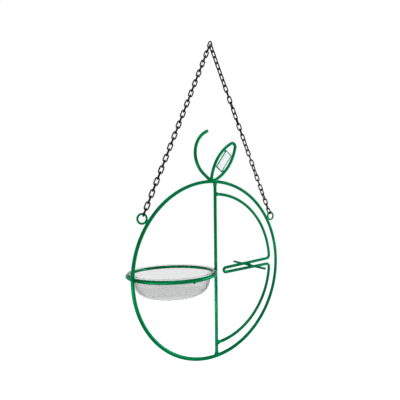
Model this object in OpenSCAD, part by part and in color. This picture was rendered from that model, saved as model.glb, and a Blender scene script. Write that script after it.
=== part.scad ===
// Hanging fruit feeder for birds: a ring of bent wire in the outline of an apple,
// with a lift-out dish in its left half, a fruit spike with a perch in its right half,
// and a welded link chain from two eyelets up to the link that goes over a hook.
// Millimetres, +Z up, +X towards the fruit spike, -Y towards the viewer.
// The origin is the seat of the hook: the inside of the hanging link's upper end.

/* [Ring and rod] */
// Radius of the outer ring, to the middle of its wire
ring_r = 150; // [130:1:180]
// Diameter of the wire of the ring, the rod and the dish ring
wire_d = 5.6; // [5.5:0.1:6.4]

/* [Fruit spike] */
// Diameter of the spike wire
spike_d = 5.2; // [4.4:0.1:5.4]
// From the middle of the ring wire in to the middle of the spike wire, at the spike's bends
spike_inset = 18.8; // [14:0.1:26]
// How far the spike wire's arc is centred outside the rod
spike_arc_x = 3; // [0:0.1:4]
// Radius of the two bends where the arc turns into the spike, to the middle of the wire
spike_bend_r = 6.5; // [5:0.5:10]
// Free space between the rod and the spike's tip
spike_tip_gap = 12.2; // [6:0.2:24]
// Height of the spike's tip below the centre of the ring
spike_tip_drop = 5.8; // [0:0.1:12]
// Height of the middle between the spike's two bends, below the centre of the ring
spike_root_drop = 1.7; // [0:0.1:12]
// How far each spike wire closes in between the perch and the tip
spike_pinch = 0.7; // [0.2:0.1:1.2]

/* [Perch] */
// Diameter of the perch bar
perch_d = 4; // [3:0.1:5]
// Length of the perch bar
perch_len = 86; // [50:1:140]
// Distance of the perch from the middle of the rod
perch_x = 76.5; // [55:0.5:100]
// Bevel of the perch bar's ends
perch_bevel = 0.8; // [0.2:0.1:1.4]

/* [Dish ring and dish] */
// How far the middle of the dish lies behind the plane of the ring
dish_setback = 19.8; // [10:0.2:26]
// Height of the dish ring's middle below the centre of the ring
dish_drop = 3.2; // [0:0.1:12]
// How far the dish ring leans back, in degrees from level
dish_tilt = 2.6; // [0:0.2:4]
// How far the dish ring leans down towards the rod, in degrees from level
dish_roll = 1; // [0:0.2:2]
// Depth of the dish under its lip
dish_depth = 34.5; // [28:0.5:45]
// Wall of the dish
dish_wall = 1.7; // [1.2:0.1:2.4]
// Thickness of the dish's lip
dish_lip_t = 1.6; // [1:0.1:2.4]
// How far the lip reaches out past the middle of the dish ring's wire
dish_lip_reach = 0.5; // [0:0.1:1]
// Slope of the dish's wall, in degrees from upright
dish_taper = 18; // [10:1:21]
// Radius of the dish's rounded lower corner, on the outside
dish_corner_r = 18.5; // [10:0.5:20]
// Depth of the shoulder in the dish's wall, under the lip
dish_shoulder_depth = 8.8; // [6:0.2:11]
// Width of that shoulder
dish_shoulder_w = 0.8; // [0.3:0.1:1.4]

/* [Stem, leaf and tag] */
// Diameter of the wire of the stem and the leaf
trim_d = 5.5; // [4.7:0.1:5.5]
// Radius of the stem's curve, to the middle of its wire
stem_r = 44; // [36:0.5:56]
// Straight length at the foot of the stem, from the middle of the ring's wire
stem_foot_len = 20.2; // [14:0.2:28]
// Distance of the stem's foot from the rod, at the middle of the ring's wire
stem_foot_x = 7.5; // [6:0.1:16]
// Slope of the stem's foot, in degrees from level
stem_foot_slope = 38; // [30:1:55]
// Turn of the stem from its foot to its tip, in degrees
stem_turn = 117; // [80:1:135]
// Half the length of the leaf's pointed outline
leaf_half_len = 48; // [44:0.5:56]
// Half the width of the leaf, to the middle of its wire
leaf_half_w = 13.5; // [12.5:0.5:18]
// Radius of the bend at the leaf's tip
leaf_tip_r = 6; // [4:0.5:8]
// Slope of the leaf, in degrees from level
leaf_slope = 54; // [48:1:62]
// Distance of the outline's lower point from the rod
leaf_foot_x = 8; // [6:0.1:10]
// Depth of the outline's lower point under the middle of the ring's wire
leaf_foot_drop = 1.3; // [1:0.1:4]
// Length of the tag
tag_len = 39; // [30:0.5:42]
// Width of the tag
tag_w = 15.6; // [12:0.2:17]
// Thickness of the tag's frame
tag_t = 1.8; // [1.4:0.1:2.4]
// Width of the rim of the tag's frame
tag_rim = 1.3; // [0.9:0.1:2]
// Thickness of the card in the tag's frame
card_t = 1; // [0.6:0.1:1.3]
// Diameter of the two lugs that hold the tag in the leaf
tag_lug_d = 3; // [2:0.1:3.4]

/* [Eyelets] */
// Outer diameter of the eyelets
eyelet_od = 18; // [17:0.5:26]
// Diameter of the eyelets' wire
eyelet_d = 3.3; // [2.4:0.1:3.4]
// Place of the left eyelet on the ring, in degrees up from level
left_eyelet_angle = 33.5; // [25:0.5:42]
// Place of the right eyelet on the ring, in degrees up from level
right_eyelet_angle = 32.5; // [25:0.5:42]

/* [Chain] */
// Height of the hook's seat above the centre of the ring
hang_h = 394; // [340:0.5:440]
// Distance of the hook's seat from the rod, towards the dish
hang_x = 6.3; // [0:0.1:12]
// Diameter of the chain's wire
chain_d = 2.2; // [1.8:0.1:2.3]
// Width inside a link
link_in_w = 4; // [3.9:0.1:4.6]
// Length inside a link
link_in_l = 10.6; // [10:0.05:12.5]
// Diameter of the weld lump on one side of a link
link_weld_d = 2.7; // [2.4:0.1:2.8]
// Thickest hook that goes through the hanging link
hook_d = 3; // [2:0.1:3.2]
// Angle of the left arm's links where they start and end, in degrees about the arm
left_angle = 78; // [74:1:100]
// Angle of the right arm's last link, in degrees about the arm
right_end_angle = -78; // [-100:1:-74]
// Most twist from link to link in the right arm, in degrees
right_twist = 21; // [0:1:22]

/* [Welds and clearances] */
// How far a weld flare stands out round a wire's end
weld_flare_w = 1.4; // [0.5:0.1:1.8]
// Length of a weld flare along the wire
weld_flare_len = 5.4; // [3:0.1:7]
// Radius of a weld nugget between two wires that touch
weld_nugget_r = 2.7; // [2:0.1:3.4]
// How far the seam lump of the dish ring stands out
seam_h = 0.7; // [0.3:0.1:1.2]
// Place of that seam, in degrees round the dish from +X
seam_angle = -92; // [-130:1:-50]
// Gap that the weld bridges between two wires that meet
weld_gap = 0.06; // [0.04:0.01:0.12]
// Gap between the perch and each spike wire
perch_gap = 0.12; // [0.08:0.01:0.3]
// Gap round the card in the tag's frame
card_gap = 0.1; // [0.05:0.05:0.3]
// Gap between the dish's wall and the dish ring
dish_gap = 0.7; // [0.4:0.1:1.2]
// Gap under the dish's lip
lip_gap = 0.25; // [0.15:0.05:0.4]
// Least gap between two links at their contact
link_gap = 0.3; // [0.2:0.05:0.4]

/* [Hidden] */
$fn = 48;
green = [0.0, 0.43, 0.25];
black = [0.05, 0.05, 0.05];
clear_grey = [0.86, 0.87, 0.88, 0.6];
card_white = [0.93, 0.94, 0.93];

// A bent wire is built of arcs and straight runs that stop just short of each other.
// A ball that is a hair thicker than the wire joins them.
joint_trim = 0.05;
joint_proud = 0.06;
// How far welds and lugs run into the wires that they hold
overlap = 1;

// Links of each arm above the upper and the lower chain hinge, counted from the hook
left_top = 7;
left_mid = 19;
right_top = 6;
right_mid = 18;

// Places in the plane of the frame are [x, z] from the centre of the ring.
ring_out_r = ring_r + wire_d / 2;
ring_in_r = ring_r - wire_d / 2;

// Fruit spike: two bend circles inside the arc and one tip circle, joined by cross tangents.
arc_c = [spike_arc_x, 0];
arc_r = ring_r - spike_inset - spike_arc_x;
arc_end = acos(-spike_arc_x / arc_r);
arc_end_z = arc_r * sin(arc_end);
perch_pitch = perch_d + spike_d + 2 * perch_gap;
tip_r = perch_pitch / 2 - spike_pinch;
tip_c = [wire_d / 2 + spike_tip_gap + spike_d / 2 + tip_r, -spike_tip_drop];
bend_reach = arc_r - spike_bend_r;
perch_share = (perch_x - tip_c[0]) / (spike_arc_x + bend_reach - tip_c[0]);
root_pitch = 2 * tip_r + (perch_pitch - 2 * tip_r) / perch_share;
high_bend_z = root_pitch / 2 + spike_bend_r - spike_root_drop;
low_bend_z = -root_pitch / 2 - spike_bend_r - spike_root_drop;
high_bend_c = arc_c + [sqrt(bend_reach^2 - high_bend_z^2), high_bend_z];
low_bend_c = arc_c + [sqrt(bend_reach^2 - low_bend_z^2), low_bend_z];
high_run = cross_tangent(high_bend_c, tip_c, spike_bend_r + tip_r, -1);
low_run = cross_tangent(tip_c, low_bend_c, spike_bend_r + tip_r, 1);
perch_z = -spike_tip_drop + (spike_tip_drop - spike_root_drop) * perch_share;

// Dish ring: as large as fits between the ring and the rod when set back.
dish_span = sqrt(ring_r^2 - dish_drop^2);
dish_ring_r = norm([dish_span / 2, dish_setback]) - wire_d - weld_gap;
dish_c = [-dish_span / 2, dish_setback, -dish_drop];

// Dish: heights are from the middle of the dish ring's wire.
dish_r = dish_ring_r - wire_d / 2 - dish_gap;
lip_z = wire_d / 2 + lip_gap;
corner_z = lip_z - dish_depth + dish_corner_r;
corner_x = dish_r - dish_shoulder_w - (lip_z - corner_z) * tan(dish_taper) - dish_corner_r / cos(dish_taper);

// Stem and leaf stand on the ring; their feet run to the middle of its wire and are cut to fit.
stem_foot = [-stem_foot_x, sqrt(ring_r^2 - stem_foot_x^2)];
stem_heading = 180 - stem_foot_slope;
stem_bend = stem_foot + stem_foot_len * [cos(stem_heading), sin(stem_heading)];
stem_start = stem_heading + 90;
stem_c = on_circle(stem_bend, stem_r, stem_start - 180);
leaf_r = (leaf_half_len^2 + leaf_half_w^2) / (2 * leaf_half_w);
leaf_off = leaf_r - leaf_half_w;
leaf_along = [cos(leaf_slope), sin(leaf_slope)];
leaf_across = [sin(leaf_slope), -cos(leaf_slope)];
leaf_c = [-leaf_foot_x, ring_r - leaf_foot_drop] + leaf_half_len * leaf_along;
leaf_tip_v = sqrt((leaf_r - leaf_tip_r)^2 - leaf_off^2);
leaf_tip_c = leaf_c + leaf_tip_v * leaf_along;
leaf_tip_half = atan2(leaf_tip_v, leaf_off);
leaf_left_c = leaf_c + leaf_off * leaf_across;
leaf_right_c = leaf_c - leaf_off * leaf_across;
leaf_left_tip = 90 + leaf_slope - leaf_tip_half;
leaf_right_tip = leaf_tip_half + leaf_slope - 90;
leaf_left_end = toward(leaf_left_c, circles_meet(leaf_left_c, leaf_r, ring_r, 1));
leaf_right_end = toward(leaf_right_c, circles_meet(leaf_right_c, leaf_r, ring_r, -1));
lug_v = tag_len / 2 - tag_lug_d;
lug_out = sqrt(leaf_r^2 - lug_v^2) - leaf_off;

// Eyelets touch the ring on the outside.
eyelet_r = (eyelet_od - eyelet_d) / 2;
eyelet_in_r = eyelet_r - eyelet_d / 2;
eyelet_reach = ring_out_r + eyelet_od / 2 + weld_gap;

// Chain: each arm is straight. Places are [x, z] from the origin of the part.
ring_c = [hang_x, 0, -hang_h];
link_bend_r = (link_in_w + chain_d) / 2;
left_eye = [hang_x, -hang_h] + eyelet_reach * [-cos(left_eyelet_angle), sin(left_eyelet_angle)];
right_eye = [hang_x, -hang_h] + eyelet_reach * [cos(right_eyelet_angle), sin(right_eyelet_angle)];
left_way = left_eye / norm(left_eye);
// The right arm's first link goes round one side of the hanging link, under the hook.
first_down = hook_d + link_gap + chain_d / 2;
first_out = link_bend_r - chain_d - link_gap;
first_wire = first_down * left_way + first_out * [-left_way[1], left_way[0]];
right_way = (right_eye - first_wire) / norm(right_eye - first_wire);
right_start = first_wire + chain_d / 2 * right_way;
left_span = norm(left_eye) - eyelet_in_r;
right_span = norm(right_eye - right_start) - eyelet_in_r;
left_count = ceil(left_span / (link_in_l - link_gap));
right_count = ceil(right_span / (link_in_l - link_gap));
upper_twist = run_twist(right_mid - 1 - right_top, 0);
lower_rest = half_turn(right_end_angle - 90 * right_count - upper_twist);
lower_twist = run_twist(right_count - 1 - right_mid, lower_rest);

function on_circle(c, r, a) = c + r * [cos(a), sin(a)];

// Angle of the way from one point to another, in degrees from +X towards +Z
function toward(a, b) = atan2(b[1] - a[1], b[0] - a[0]);

// Heading of the straight run from circle a to circle b that crosses between them
function cross_tangent(a, b, radii, side) = toward(a, b) + side * asin(radii / norm(b - a));

// Where a circle meets a circle of radius big_r round the ring's centre
function circles_meet(c, r, big_r, side) =
    let (d = norm(c), u = c / d, a = (big_r^2 - r^2 + d^2) / (2 * d), h = sqrt(big_r^2 - a^2))
    a * u + side * h * [-u[1], u[0]];

// An angle brought to the half turn from -90 to 90
function half_turn(a) = a - 180 * round(a / 180);

// Angle of left link i, each square to the one before but for an even twist below the lower hinge
function left_link_angle(i) =
    left_angle + 90 * (i - 1)
    - half_turn(90 * left_count) * max(0, i - left_mid) / (left_count - 1 - left_mid);

// Twist over a run of right links that ends at the angle rest, with as many half turns as fit
function run_twist(steps, rest) = rest - 180 * floor((right_twist * steps + rest) / 180);

// Angle of right link i, each square to the one before but for the twist between and below the hinges
function right_link_angle(i) =
    90 * (i + 1)
    + upper_twist * min(1, max(0, i - right_top) / (right_mid - 1 - right_top))
    + lower_twist * max(0, i - right_mid) / (right_count - 1 - right_mid);

// Arc of wire in the plane of the frame
module wire_arc(c, r, from, to, d) {
    trim = joint_trim / r * 180 / PI;
    translate([c[0], 0, c[1]]) rotate([90, 0, 0]) rotate([0, 0, min(from, to) + trim])
        rotate_extrude(angle = abs(to - from) - 2 * trim) translate([r, 0]) circle(d = d);
}

// Straight run of wire in the plane of the frame
module wire_run(a, b, d) {
    translate([a[0], 0, a[1]]) rotate([0, 90 - toward(a, b), 0])
        translate([0, 0, joint_trim]) cylinder(h = norm(b - a) - 2 * joint_trim, d = d);
}

module wire_joint(p, d) {
    translate([p[0], 0, p[1]]) sphere(d = d + joint_proud);
}

// Full ring of round wire that stands in the plane of the frame
module hoop(r, d) {
    rotate([90, 0, 0]) rotate_extrude() translate([r, 0]) circle(d = d);
}

// What is cut away so that a wire's end fits round the ring or the rod
module ring_cut() {
    hoop(ring_r, wire_d + 2 * weld_gap);
}

module rod_cut() {
    translate([0, 0, -ring_r]) cylinder(h = 2 * ring_r, d = wire_d + 2 * weld_gap);
}

// Weld round a wire's end: widest at the end and fading along the wire
module weld_flare(p, heading, d) {
    translate([p[0], 0, p[1]]) rotate([0, 90 - heading, 0]) translate([0, 0, -overlap])
        cylinder(h = weld_flare_len + overlap, d1 = d + 2 * weld_flare_w, d2 = d);
}

module weld_nugget(place, r = weld_nugget_r) {
    translate(place) sphere(r);
}

module on_ring() {
    translate(ring_c) children();
}

module on_dish_ring() {
    on_ring() translate(dish_c) rotate([-dish_tilt, dish_roll, 0]) children();
}

// One welded link. It hangs from the inside of its upper end, with its opening facing Y.
module chain_link() {
    straight = link_in_l - link_in_w;
    translate([0, 0, -link_in_w / 2])
        rotate([90, 0, 0]) rotate_extrude(angle = 180) translate([link_bend_r, 0]) circle(d = chain_d);
    translate([0, 0, -link_in_w / 2 - straight])
        rotate([-90, 0, 0]) rotate_extrude(angle = 180) translate([link_bend_r, 0]) circle(d = chain_d);
    for (side = [-1, 1])
        translate([side * link_bend_r, 0, -link_in_w / 2 - straight]) cylinder(h = straight, d = chain_d);
    translate([-link_bend_r, 0, -link_in_l / 2]) sphere(d = link_weld_d);
}

// A link at distance s down an arm, turned about the arm
module arm_link(start, way, s, turn) {
    translate([start[0], 0, start[1]]) rotate([0, atan2(-way[0], -way[1]), 0])
        translate([0, 0, -s]) rotate([0, 0, turn]) chain_link();
}

module left_links(first, last) {
    color(black) for (i = [first:last])
        arm_link([0, 0], left_way, i * left_span / left_count, left_link_angle(i));
}

module right_links(first, last) {
    color(black) for (i = [first:last])
        arm_link(right_start, right_way, i * right_span / right_count, right_link_angle(i));
}

// The link for the hook lies in the plane of the frame, in line with the left arm
module hanging_link() {
    color(black) arm_link([0, 0], left_way, 0, 0);
}

module top_left_links() {
    left_links(1, left_top - 1);
}

module top_right_links() {
    right_links(0, right_top - 1);
}

module upper_left_links() {
    left_links(left_top, left_mid - 1);
}

module upper_right_links() {
    right_links(right_top, right_mid - 1);
}

module lower_left_links() {
    left_links(left_mid, left_count - 2);
}

module lower_right_links() {
    right_links(right_mid, right_count - 2);
}

module left_end_link() {
    left_links(left_count - 1, left_count - 1);
}

module right_end_link() {
    right_links(right_count - 1, right_count - 1);
}

module outer_ring() {
    color(green) on_ring() hoop(ring_r, wire_d);
}

// Straight rod between the top and the bottom of the ring
module centre_rod() {
    color(green) on_ring() difference() {
        translate([0, 0, -ring_r]) cylinder(h = 2 * ring_r, d = wire_d);
        ring_cut();
    }
}

module rod_welds() {
    color(green) on_ring()
        for (end = [-1, 1]) weld_flare([0, end * ring_in_r], -90 * end, wire_d);
}

// One wire: from the top of the rod round to the right, in and out as the spike, and on to the rod
module fruit_spike_wire() {
    high_start = toward(arc_c, high_bend_c);
    low_start = toward(arc_c, low_bend_c);
    bends = [
        on_circle(arc_c, arc_r, high_start),
        on_circle(high_bend_c, spike_bend_r, high_run + 90),
        on_circle(tip_c, tip_r, high_run - 90),
        on_circle(tip_c, tip_r, low_run - 90),
        on_circle(low_bend_c, spike_bend_r, low_run + 90),
        on_circle(arc_c, arc_r, low_start)
    ];
    color(green) on_ring() difference() {
        union() {
            wire_arc(arc_c, arc_r, arc_end, high_start, spike_d);
            wire_arc(high_bend_c, spike_bend_r, high_start, high_run + 90, spike_d);
            wire_run(bends[1], bends[2], spike_d);
            wire_arc(tip_c, tip_r, high_run - 90, low_run - 90, spike_d);
            wire_run(bends[3], bends[4], spike_d);
            wire_arc(low_bend_c, spike_bend_r, low_run + 90, low_start, spike_d);
            wire_arc(arc_c, arc_r, low_start, -arc_end, spike_d);
            for (p = bends) wire_joint(p, spike_d);
        }
        rod_cut();
    }
}

module spike_welds() {
    color(green) on_ring()
        for (end = [-1, 1]) weld_flare([wire_d / 2, end * arc_end_z], 0, spike_d);
}

// Round bar across the spike, with bevelled ends
module perch_bar() {
    half = perch_len / 2;
    color(green) on_ring() translate([perch_x, 0, perch_z]) rotate([90, 0, 0]) rotate_extrude()
        polygon([
            [0, -half], [perch_d / 2 - perch_bevel, -half], [perch_d / 2, perch_bevel - half],
            [perch_d / 2, half - perch_bevel], [perch_d / 2 - perch_bevel, half], [0, half]
        ]);
}

// Welds at the front, above and below the perch
module perch_welds() {
    color(green) on_ring()
        for (side = [-1, 1])
            weld_nugget([perch_x, -spike_d / 2, perch_z + side * perch_d / 2], perch_d / 2);
}

module dish_ring() {
    color(green) on_dish_ring() rotate_extrude() translate([dish_ring_r, 0]) circle(d = wire_d);
}

// Welds to the ring and to the rod
module dish_ring_welds() {
    seat = dish_ring_r + (wire_d + weld_gap) / 2;
    to_rod = atan2(-dish_setback, dish_span / 2);
    color(green) on_dish_ring()
        for (a = [to_rod, 180 - to_rod]) weld_nugget(seat * [cos(a), sin(a), 0]);
}

// Lump where the ends of the dish ring's own wire meet, on the side away from the dish
module dish_ring_seam() {
    color(green) on_dish_ring() rotate([0, 0, seam_angle])
        weld_nugget([dish_ring_r + seam_h, 0, -seam_h], wire_d / 2 + seam_h);
}

// Outline of the dish's wall from the lip down to the middle of the floor, moved in by inset
function dish_side(inset) =
    let (
        slope = tan(dish_taper),
        top = dish_r - inset / cos(dish_taper),
        shoulder = top - dish_shoulder_depth * slope,
        r = dish_corner_r - inset
    )
    concat(
        [
            [top, lip_z],
            [shoulder, lip_z - dish_shoulder_depth],
            [shoulder - dish_shoulder_w * (1 + slope), lip_z - dish_shoulder_depth - dish_shoulder_w]
        ],
        [for (i = [0:9])
            on_circle([corner_x, corner_z], r, -dish_taper - i * (90 - dish_taper) / 9)],
        [[0, corner_z - r]]
    );

// Loose dish: it hangs by its lip on the dish ring
module dish() {
    outer = dish_side(0);
    inner = dish_side(dish_wall);
    lip_r = dish_ring_r + dish_lip_reach;
    lip_top = lip_z + dish_lip_t;
    mouth_r = inner[0][0] + dish_lip_t * tan(dish_taper);
    rim = [[mouth_r, lip_top], [lip_r, lip_top], [lip_r, lip_z]];
    inner_up = [for (i = [len(inner) - 1:-1:1]) inner[i]];
    color(clear_grey) on_dish_ring() rotate_extrude() polygon(concat(rim, outer, inner_up));
}

// Curved stem, cut at its foot to fit the ring and the leaf
module stem_wire() {
    color(green) on_ring() difference() {
        union() {
            wire_run(stem_foot, stem_bend, trim_d);
            wire_joint(stem_bend, trim_d);
            wire_arc(stem_c, stem_r, stem_start, stem_start - stem_turn, trim_d);
        }
        ring_cut();
        wire_arc(leaf_left_c, leaf_r, leaf_left_end, leaf_left_tip, trim_d + 2 * weld_gap);
    }
}

// Pointed loop: up the left side, round the tip and down the right side
module leaf_wire() {
    color(green) on_ring() difference() {
        union() {
            wire_arc(leaf_left_c, leaf_r, leaf_left_end, leaf_left_tip, trim_d);
            wire_joint(on_circle(leaf_left_c, leaf_r, leaf_left_tip), trim_d);
            wire_arc(leaf_tip_c, leaf_tip_r, leaf_left_tip, leaf_right_tip, trim_d);
            wire_joint(on_circle(leaf_right_c, leaf_r, leaf_right_tip), trim_d);
            wire_arc(leaf_right_c, leaf_r, leaf_right_tip, leaf_right_end, trim_d);
        }
        ring_cut();
    }
}

// Welds that hold the stem and both feet of the leaf on the ring, kept to its outer side
module crown_welds() {
    feet = [
        [stem_foot, stem_heading],
        [on_circle(leaf_left_c, leaf_r, leaf_left_end), leaf_left_end - 90],
        [on_circle(leaf_right_c, leaf_r, leaf_right_end), leaf_right_end + 90]
    ];
    color(green) on_ring() difference() {
        for (foot = feet) weld_flare(on_circle(foot[0], wire_d / 2, foot[1]), foot[1], trim_d);
        rotate([90, 0, 0]) cylinder(h = 4 * wire_d, r = ring_r, center = true);
    }
}

module on_leaf() {
    on_ring() translate([leaf_c[0], 0, leaf_c[1]]) rotate([0, 90 - leaf_slope, 0]) children();
}

// Thin rectangular frame in the leaf
module tag_frame() {
    color(green) on_leaf() difference() {
        cube([tag_w, tag_t, tag_len], center = true);
        cube([tag_w - 2 * tag_rim, 2 * tag_t, tag_len - 2 * tag_rim], center = true);
    }
}

// Bare card in that frame
module tag_card() {
    inset = 2 * (tag_rim + card_gap);
    color(card_white) on_leaf() cube([tag_w - inset, card_t, tag_len - inset], center = true);
}

// Short pegs from two opposite corners of the tag's frame to the leaf's wire
module tag_lugs() {
    color(green) on_leaf()
        for (end = [0, 180])
            rotate([0, end, 0]) translate([-lug_out, 0, lug_v]) rotate([0, 90, 0])
                cylinder(h = lug_out - tag_w / 2 + overlap, d = tag_lug_d);
}

module eyelet(centre) {
    color(green) translate([centre[0], 0, centre[1]]) hoop(eyelet_r, eyelet_d);
}

module left_eyelet() {
    eyelet(left_eye);
}

module right_eyelet() {
    eyelet(right_eye);
}

module eyelet_welds() {
    seat = ring_out_r + weld_gap / 2;
    color(green) on_ring()
        for (a = [right_eyelet_angle, 180 - left_eyelet_angle]) weld_nugget(seat * [cos(a), 0, sin(a)]);
}

hanging_link();
top_left_links();
top_right_links();
upper_left_links();
upper_right_links();
lower_left_links();
lower_right_links();
left_end_link();
right_end_link();
outer_ring();
centre_rod();
rod_welds();
fruit_spike_wire();
spike_welds();
perch_bar();
perch_welds();
dish_ring();
dish_ring_welds();
dish_ring_seam();
dish();
stem_wire();
leaf_wire();
crown_welds();
tag_frame();
tag_card();
tag_lugs();
left_eyelet();
right_eyelet();
eyelet_welds();
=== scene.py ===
import math

import bpy
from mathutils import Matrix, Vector


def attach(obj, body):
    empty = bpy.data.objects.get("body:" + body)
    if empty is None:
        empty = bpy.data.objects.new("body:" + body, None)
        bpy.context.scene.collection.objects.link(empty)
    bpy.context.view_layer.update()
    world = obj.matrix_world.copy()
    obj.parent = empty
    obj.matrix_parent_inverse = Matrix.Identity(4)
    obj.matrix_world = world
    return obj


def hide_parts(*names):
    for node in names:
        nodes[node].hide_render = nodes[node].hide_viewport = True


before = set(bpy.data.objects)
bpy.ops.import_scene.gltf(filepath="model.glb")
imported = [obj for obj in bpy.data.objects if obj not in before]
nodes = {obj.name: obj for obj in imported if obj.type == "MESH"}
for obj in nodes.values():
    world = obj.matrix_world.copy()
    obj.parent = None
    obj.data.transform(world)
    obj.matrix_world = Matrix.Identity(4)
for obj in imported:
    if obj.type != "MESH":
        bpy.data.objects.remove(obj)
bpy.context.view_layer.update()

# Ring and rod
# The frame is 5.6 mm steel wire: one length rolled to a ring, and a straight rod across it.
# Once everything is welded on, the whole frame is powder coated in one deep leaf green.
coat_green = (0.0, 0.155, 0.050, 1)
coat_deep = (0.0, 0.115, 0.032, 1)
coat_thin = (0.0, 0.205, 0.092, 1)
coat_sheen = (0.0, 1.0, 0.9, 1)


def new_finish(name):
    # An empty finish with its shader, and the place on the piece that its patterns read
    finish = bpy.data.materials.new(name)
    finish.use_nodes = True
    tree = finish.node_tree
    shader = tree.nodes["Principled BSDF"]
    place = tree.nodes.new("ShaderNodeTexCoord").outputs["Object"]
    return finish, tree, shader, place


def grain(tree, place, scale, detail=2.0, roughness=0.5):
    # Speckle of about one over scale metres
    speckle = tree.nodes.new("ShaderNodeTexNoise")
    speckle.inputs["Scale"].default_value = scale
    speckle.inputs["Detail"].default_value = detail
    speckle.inputs["Roughness"].default_value = roughness
    tree.links.new(place, speckle.inputs["Vector"])
    return speckle.outputs["Fac"]


def spread(tree, value, low, high, to_low, to_high):
    # Turns the part of a pattern between low and high into another range
    scaled = tree.nodes.new("ShaderNodeMapRange")
    scaled.inputs["From Min"].default_value = low
    scaled.inputs["From Max"].default_value = high
    scaled.inputs["To Min"].default_value = to_low
    scaled.inputs["To Max"].default_value = to_high
    tree.links.new(value, scaled.inputs["Value"])
    return scaled.outputs["Result"]


def blend_colours(tree, share, first, second):
    # Goes from the first colour to the second with the share; each is a value or a pattern
    mixed = tree.nodes.new("ShaderNodeMix")
    mixed.data_type = "RGBA"
    tree.links.new(share, mixed.inputs["Factor"])
    for socket, colour in (("A", first), ("B", second)):
        target = [s for s in mixed.inputs if s.name == socket and s.type == "RGBA"][0]
        if isinstance(colour, tuple):
            target.default_value = colour
        else:
            tree.links.new(colour, target)
    return [s for s in mixed.outputs if s.type == "RGBA"][0]


def relief(tree, shader, height, depth, strength, under=None):
    # Fine bumps on the surface, on top of the coarser bumps under them
    bump = tree.nodes.new("ShaderNodeBump")
    bump.inputs["Distance"].default_value = depth
    bump.inputs["Strength"].default_value = strength
    tree.links.new(height, bump.inputs["Height"])
    if under is not None:
        tree.links.new(under, bump.inputs["Normal"])
    tree.links.new(bump.outputs["Normal"], shader.inputs["Normal"])
    return bump.outputs["Normal"]


def powder_coat(name):
    # Cured powder: broad pools of deeper and thinner coat, and a fine orange peel
    finish, tree, shader, place = new_finish(name)
    pools = grain(tree, place, scale=38, detail=3)
    pools = spread(tree, pools, low=0.35, high=0.7, to_low=0.0, to_high=1.0)
    flecks = grain(tree, place, scale=420)
    flecks = spread(tree, flecks, low=0.56, high=0.72, to_low=0.0, to_high=0.35)
    colour = blend_colours(tree, pools, coat_deep, coat_green)
    colour = blend_colours(tree, flecks, colour, coat_thin)
    tree.links.new(colour, shader.inputs["Base Color"])
    gloss = grain(tree, place, scale=150)
    gloss = spread(tree, gloss, low=0.3, high=0.7, to_low=0.2, to_high=0.36)
    tree.links.new(gloss, shader.inputs["Roughness"])
    shader.inputs["Metallic"].default_value = 0.6
    shader.inputs["Specular IOR Level"].default_value = 0.05
    shader.inputs["Specular Tint"].default_value = coat_sheen
    waves = grain(tree, place, scale=260, detail=1)
    waves = relief(tree, shader, waves, depth=0.0004, strength=0.12)
    peel = grain(tree, place, scale=950)
    relief(tree, shader, peel, depth=0.00014, strength=0.2, under=waves)
    return finish


green_coat = powder_coat("green_powder_coat")


def finish_nodes(finish, *names):
    # Gives CAD solids that stay as they are their finish
    for name in names:
        nodes[name].material_slots[0].material = finish


def as_copy(name, node):
    # A copy of a CAD solid with its triangles merged, ready to be worked on
    bpy.ops.object.select_all(action="DESELECT")
    copy = bpy.data.objects.new(name, nodes[node].data.copy())
    bpy.context.scene.collection.objects.link(copy)
    bpy.context.view_layer.objects.active = copy
    copy.select_set(True)
    bpy.ops.mesh.customdata_custom_splitnormals_clear()
    bpy.ops.object.mode_set(mode="EDIT")
    bpy.ops.mesh.select_all(action="SELECT")
    bpy.ops.mesh.remove_doubles(threshold=2e-6)
    bpy.ops.object.mode_set(mode="OBJECT")
    return copy


def wire_stub(wire, spot, reach):
    # The short length of a wire that lies within reach of a spot
    stub = as_copy("wire_stub", wire)
    bpy.ops.object.mode_set(mode="EDIT")
    for axis in range(3):
        for side in (-1, 1):
            way = Vector((0, 0, 0))
            way[axis] = side
            bpy.ops.mesh.select_all(action="SELECT")
            bpy.ops.mesh.bisect(
                plane_co=spot + reach * way, plane_no=way, clear_outer=True, use_fill=True
            )
    bpy.ops.object.mode_set(mode="OBJECT")
    return stub


def work(piece, kind, **settings):
    # Adds one modifier with its settings and applies it
    bpy.ops.object.select_all(action="DESELECT")
    bpy.context.view_layer.objects.active = piece
    piece.select_set(True)
    bpy.ops.object.modifier_add(type=kind)
    modifier = piece.modifiers[-1]
    for setting, value in settings.items():
        setattr(modifier, setting, value)
    bpy.ops.object.modifier_apply(modifier=modifier.name)


weld_lumps = bpy.data.textures.new("weld_lumps", "CLOUDS")
weld_lumps.noise_scale = 0.0022
weld_skin = 0.00034
lump_height = 0.0005


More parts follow.
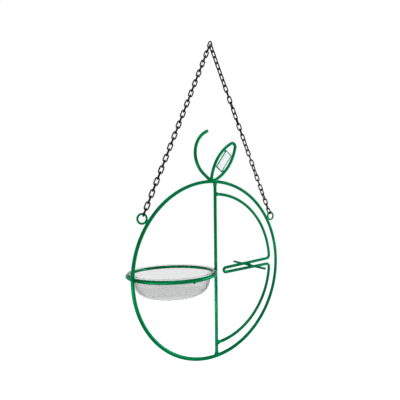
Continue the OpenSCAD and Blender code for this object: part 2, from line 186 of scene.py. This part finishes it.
def run_weld(name, weld, wires, reach):
    # Melts a weld and the wire ends under it into one skin with soft corners and small lumps
    bead = as_copy(name, weld)
    bpy.ops.object.mode_set(mode="EDIT")
    bpy.ops.mesh.select_all(action="SELECT")
    bpy.ops.mesh.separate(type="LOOSE")
    bpy.ops.object.mode_set(mode="OBJECT")
    lumps = list(bpy.context.selected_objects)
    parts = list(lumps)
    for lump in lumps:
        corners = [Vector(c) for c in lump.bound_box]
        spot = sum(corners, Vector()) / len(corners)
        for wire in wires:
            stub = wire_stub(wire, spot, reach)
            if stub.data.polygons:
                parts.append(stub)
            else:
                bpy.data.objects.remove(stub)
    bpy.ops.object.select_all(action="DESELECT")
    for part in parts:
        part.select_set(True)
    bpy.context.view_layer.objects.active = bead
    bpy.ops.object.join()
    work(bead, "REMESH", mode="VOXEL", voxel_size=weld_skin)
    work(bead, "SMOOTH", factor=0.5, iterations=14)
    work(
        bead, "DISPLACE", texture=weld_lumps, strength=lump_height, mid_level=0.55,
        texture_coords="LOCAL",
    )
    work(bead, "SMOOTH", factor=0.5, iterations=2)
    bpy.ops.object.shade_smooth()
    bead.data.materials.clear()
    bead.data.materials.append(green_coat)
    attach(bead, "frame")
    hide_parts(weld)


finish_nodes(green_coat, "outer_ring", "centre_rod")
run_weld("rod_weld_beads", "rod_welds", ["outer_ring", "centre_rod"], reach=0.009)

# Fruit spike and perch
# One 5.2 mm wire runs from the top of the rod round the right half, turns in to the rod as
# a narrow hairpin for the fruit, and goes on to the foot of the rod. A short bar lies
# between the hairpin's two runs, with a weld above and below, as the perch.
finish_nodes(green_coat, "fruit_spike_wire", "perch_bar")
run_weld("spike_weld_beads", "spike_welds", ["centre_rod", "fruit_spike_wire"], reach=0.008)
run_weld("perch_weld_beads", "perch_welds", ["fruit_spike_wire", "perch_bar"], reach=0.007)

# Dish ring
# A level ring of the ring's wire, butt welded at the front, where a lump is left. It is
# welded behind the big ring on the left and behind the rod on the right.
finish_nodes(green_coat, "dish_ring")
dish_ring_wires = ["dish_ring", "outer_ring", "centre_rod"]
run_weld("dish_ring_weld_beads", "dish_ring_welds", dish_ring_wires, reach=0.009)
run_weld("dish_ring_seam_bead", "dish_ring_seam", ["dish_ring"], reach=0.009)

# Stem and leaf
# Two bent wires on top of the ring: an open curve for the stem, and a pointed loop for
# the leaf. Their feet stand side by side on the ring in one run of weld.
finish_nodes(green_coat, "stem_wire", "leaf_wire")
crown_wires = ["outer_ring", "stem_wire", "leaf_wire"]
run_weld("crown_weld_beads", "crown_welds", crown_wires, reach=0.012)

# Tag
# A thin frame of flat bar, tacked to the leaf by a peg at two corners, with a bare white
# card clipped into it. Card and frame have softly broken edges.
card_white = (0.88, 0.885, 0.88, 1)
card_shade = (0.85, 0.855, 0.85, 1)


def break_edges(piece, width):
    # Rounds the sharp edges of a flat piece and shades only what is left of them flat
    work(
        piece, "BEVEL", width=width, segments=3, limit_method="ANGLE",
        angle_limit=math.radians(40),
    )
    bpy.ops.object.shade_smooth_by_angle(angle=math.radians(35))


tag_frame = as_copy("tag_rim", "tag_frame")
break_edges(tag_frame, 0.00028)
tag_frame.data.materials.clear()
tag_frame.data.materials.append(green_coat)
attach(tag_frame, "frame")
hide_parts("tag_frame")
run_weld("tag_peg_beads", "tag_lugs", ["leaf_wire", "tag_frame"], reach=0.005)

card_finish, tree, shader, place = new_finish("white_card")
fibres = grain(tree, place, scale=900, detail=6, roughness=0.7)
fibres = spread(tree, fibres, low=0.3, high=0.7, to_low=0.5, to_high=0.7)
clouds = grain(tree, place, scale=70, detail=3)
clouds = spread(tree, clouds, low=0.35, high=0.7, to_low=0.0, to_high=1.0)
card_colour = blend_colours(tree, clouds, card_shade, card_white)
tree.links.new(card_colour, shader.inputs["Base Color"])
tree.links.new(fibres, shader.inputs["Roughness"])
card = as_copy("card", "tag_card")
break_edges(card, 0.0003)
card.data.materials.clear()
card.data.materials.append(card_finish)
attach(card, "frame")
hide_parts("tag_card")

# Eyelets
# Two small rings of 3.3 mm wire, welded to the outside of the ring, take the chain's ends.
finish_nodes(green_coat, "left_eyelet", "right_eyelet")
eyelet_wires = ["left_eyelet", "right_eyelet", "outer_ring"]
run_weld("eyelet_weld_beads", "eyelet_welds", eyelet_wires, reach=0.007)

# Dish
# A loose saucer moulded in clear plastic: a flat floor on a low foot, a round corner, a
# sloping wall with a stacking shoulder, and a flat lip that lies on the dish ring. Each
# pair below is a radius and a height of its outside.
dish_middle = (-0.068683, 0.0198, -0.3972)
dish_lean = (math.radians(-2.6), math.radians(1), 0)
dish_wall = 0.0017
dish_sides = 96
floor_start = (0.003, -0.0309)
floor_points = (
    (0.012, -0.0309), (0.022, -0.0309), (0.029, -0.03095),
    (0.034, -0.0311), (0.038, -0.0313), (0.0406, -0.03143),
)
corner_middle = (0.04294, -0.01295)
corner_radius = 0.0185
corner_points = 11
corner_step = 7.2
wall_points = ((0.0615, -0.0157), (0.0639, -0.0083), (0.06425, -0.0072), (0.06447, -0.00655))
shoulder_points = ((0.0647, -0.0063), (0.0653, -0.0060), (0.06553, -0.00575), (0.06572, -0.0052))
neck_points = ((0.0671, -0.0009), (0.0681, 0.0021), (0.06835, 0.00272), (0.0688, 0.00302))
lip_points = ((0.0698, 0.00306), (0.0716, 0.00306), (0.07215, 0.00312), (0.07236, 0.0034))
dish_clear = (0.757, 0.757, 0.758, 1)
dish_edge = (0.05, 0.05, 0.051, 1)
dish_gloss = (0.3, 0.3, 0.3, 1)

bpy.ops.object.select_all(action="DESELECT")
bpy.ops.mesh.primitive_circle_add(
    vertices=dish_sides, radius=floor_start[0], fill_type="TRIFAN", location=(0, 0, floor_start[1])
)
dish = bpy.context.object
dish.name = "clear_dish"
bpy.ops.object.transform_apply(location=True, rotation=True, scale=True)
bpy.ops.object.mode_set(mode="EDIT")
bpy.ops.mesh.select_mode(type="EDGE")
bpy.ops.mesh.select_all(action="SELECT")
bpy.ops.mesh.region_to_loop()
drawn = list(floor_start)


def draw_out(radius, height):
    # Draws the open edge of the dish on to the next radius and height of its outside
    bpy.ops.mesh.extrude_edges_move(TRANSFORM_OT_translate={"value": (0, 0, height - drawn[1])})
    share = radius / drawn[0]
    bpy.ops.transform.resize(value=(share, share, 1), center_override=(0, 0, height))
    drawn[0] = radius
    drawn[1] = height


for radius, height in floor_points:
    draw_out(radius, height)
for step in range(corner_points):
    turn = math.radians(-90 + corner_step * step)
    draw_out(
        corner_middle[0] + corner_radius * math.cos(turn),
        corner_middle[1] + corner_radius * math.sin(turn),
    )
for radius, height in wall_points + shoulder_points + neck_points + lip_points:
    draw_out(radius, height)
bpy.ops.mesh.select_all(action="SELECT")
bpy.ops.mesh.normals_make_consistent(inside=False)
bpy.ops.object.mode_set(mode="OBJECT")
if dish.data.polygons[0].normal.z > 0:
    dish.data.flip_normals()
work(dish, "SOLIDIFY", thickness=dish_wall, offset=-1, use_even_offset=True)
work(dish, "SUBSURF", levels=1, render_levels=1)
bpy.ops.object.shade_smooth()
dish.rotation_euler = dish_lean
dish.location = dish_middle
bpy.ops.object.transform_apply(location=True, rotation=True, scale=True)

clear_plastic, tree, shader, place = new_finish("clear_plastic")


def from_place(operation, value, other=None):
    # One step of reckoning with places on the dish
    step = tree.nodes.new("ShaderNodeVectorMath")
    step.operation = operation
    tree.links.new(value, step.inputs[0])
    if other is not None:
        step.inputs[1].default_value = other
    return step


# The plastic looks darker where it is seen edge on, most of all in the round corner
off_middle = from_place("SUBTRACT", place, dish_middle)
level_part = from_place("MULTIPLY", off_middle.outputs["Vector"], (1, 1, 0))
out_from_middle = from_place("LENGTH", level_part.outputs["Vector"]).outputs["Value"]
floor_to_corner = spread(tree, out_from_middle, low=0.043, high=0.05, to_low=0.25, to_high=1.0)
wall_to_lip = spread(tree, out_from_middle, low=0.064, high=0.068, to_low=1.0, to_high=0.3)
slant = tree.nodes.new("ShaderNodeLayerWeight")
slant.inputs["Blend"].default_value = 0.5
depth = spread(tree, slant.outputs["Facing"], low=0.5, high=0.95, to_low=0.0, to_high=1.0)
for fade in (floor_to_corner, wall_to_lip):
    faded = tree.nodes.new("ShaderNodeMath")
    faded.operation = "MULTIPLY"
    tree.links.new(depth, faded.inputs[0])
    tree.links.new(fade, faded.inputs[1])
    depth = faded.outputs["Value"]
tree.links.new(blend_colours(tree, depth, dish_clear, dish_edge), shader.inputs["Base Color"])
haze = grain(tree, place, scale=45, detail=4)
haze = spread(tree, haze, low=0.3, high=0.7, to_low=0.0, to_high=0.01)
tree.links.new(haze, shader.inputs["Roughness"])
shader.inputs["Transmission Weight"].default_value = 1.0
shader.inputs["IOR"].default_value = 1.1
shader.inputs["Specular Tint"].default_value = dish_gloss
shader.inputs["Coat Weight"].default_value = 0.04
shader.inputs["Coat Roughness"].default_value = 0.03
dish.data.materials.append(clear_plastic)
dish.visible_shadow = False
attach(dish, "dish")
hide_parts("dish")

# Chain
# Two arms of common 2.2 mm welded chain, each link bent and closed by a weld on one side,
# blackened and oiled. They meet in one link that goes over the hook.
chain_black = (0.0014, 0.0015, 0.0015, 1)
chain_worn = (0.006, 0.0062, 0.006, 1)
black_finish, tree, shader, place = new_finish("blackened_chain")
scuffs = grain(tree, place, scale=520, detail=4, roughness=0.65)
scuffs = spread(tree, scuffs, low=0.55, high=0.75, to_low=0.0, to_high=1.0)
tree.links.new(blend_colours(tree, scuffs, chain_black, chain_worn), shader.inputs["Base Color"])
dullness = spread(tree, scuffs, low=0.0, high=1.0, to_low=0.42, to_high=0.6)
tree.links.new(dullness, shader.inputs["Roughness"])
shader.inputs["Specular IOR Level"].default_value = 0.06
pits = grain(tree, place, scale=1500, detail=3)
relief(tree, shader, pits, depth=0.00012, strength=0.3)
chain_nodes = [name for name in nodes if name.endswith("_links") or name.endswith("_link")]
finish_nodes(black_finish, *chain_nodes)

# Set
# A plain white room: the floor lies well under the hanging feeder, and soft lamps stand to
# the right, low on the left and above. The camera stands low in front, on the left.
room_light = 0.48
room_white = 1.0
floor_height = -0.95
floor_glow = 0.63
feeder_middle = (0.0, 0.0, -0.35)

world = bpy.data.worlds.new("white_room")
bpy.context.scene.world = world
world.use_nodes = True
tree = world.node_tree
room = tree.nodes["Background"]
room.inputs["Color"].default_value = (1, 1, 1, 1)


def seen_directly(tree):
    # One where a ray comes from the camera, or from a mirror or clear surface
    rays = tree.nodes.new("ShaderNodeLightPath")
    total = rays.outputs["Is Camera Ray"]
    for kind in ("Is Glossy Ray", "Is Transmission Ray"):
        either = tree.nodes.new("ShaderNodeMath")
        either.operation = "MAXIMUM"
        tree.links.new(total, either.inputs[0])
        tree.links.new(rays.outputs[kind], either.inputs[1])
        total = either.outputs["Value"]
    return total


room_strength = spread(tree, seen_directly(tree), 0, 1, room_light, room_white)
tree.links.new(room_strength, room.inputs["Strength"])

bpy.ops.object.select_all(action="DESELECT")
bpy.ops.mesh.primitive_plane_add(size=12, location=(0, 0, floor_height))
floor = bpy.context.object
floor.name = "floor"
floor_white, tree, shader, place = new_finish("white_floor")
shader.inputs["Base Color"].default_value = (0.8, 0.8, 0.8, 1)
shader.inputs["Roughness"].default_value = 0.9
shader.inputs["Specular IOR Level"].default_value = 0.0
shader.inputs["Emission Color"].default_value = (1, 1, 1, 1)
floor_strength = spread(tree, seen_directly(tree), 0, 1, 0.0, floor_glow)
tree.links.new(floor_strength, shader.inputs["Emission Strength"])
floor.data.materials.append(floor_white)


def soft_lamp(name, place, width, height, power, colour):
    # A flat soft lamp that faces the feeder's middle
    lamp = bpy.data.lights.new(name, "AREA")
    lamp.shape = "RECTANGLE"
    lamp.size = width
    lamp.size_y = height
    lamp.energy = power
    lamp.color = colour
    holder = bpy.data.objects.new(name, lamp)
    bpy.context.scene.collection.objects.link(holder)
    holder.location = place
    to_feeder = Vector(feeder_middle) - Vector(place)
    holder.rotation_euler = to_feeder.to_track_quat("-Z", "Y").to_euler()
    holder.visible_camera = False


soft_lamp("right_lamp", (1.2, -0.5, -0.33), 0.9, 0.9, power=13, colour=(0.75, 0.93, 1.0))
soft_lamp("low_lamp", (-1.0, -0.55, -0.95), 1.5, 0.3, power=17, colour=(0.85, 1.0, 1.0))
soft_lamp("top_lamp", (-0.1, -0.6, 1.1), 1.0, 1.0, power=6, colour=(0.95, 0.98, 1.0))

camera = bpy.data.cameras.new("camera")
camera.lens = 26.0995
camera.sensor_width = 36
camera.clip_start = 0.01
camera_holder = bpy.data.objects.new("camera", camera)
bpy.context.scene.collection.objects.link(camera_holder)
camera_holder.location = (-0.29392, -0.40755, -0.28686)
camera_turn = (91.2471, 0.5197, -33.3745)
camera_holder.rotation_euler = [math.radians(angle) for angle in camera_turn]
bpy.context.scene.camera = camera_holder
bpy.context.scene.view_settings.view_transform = "Standard"
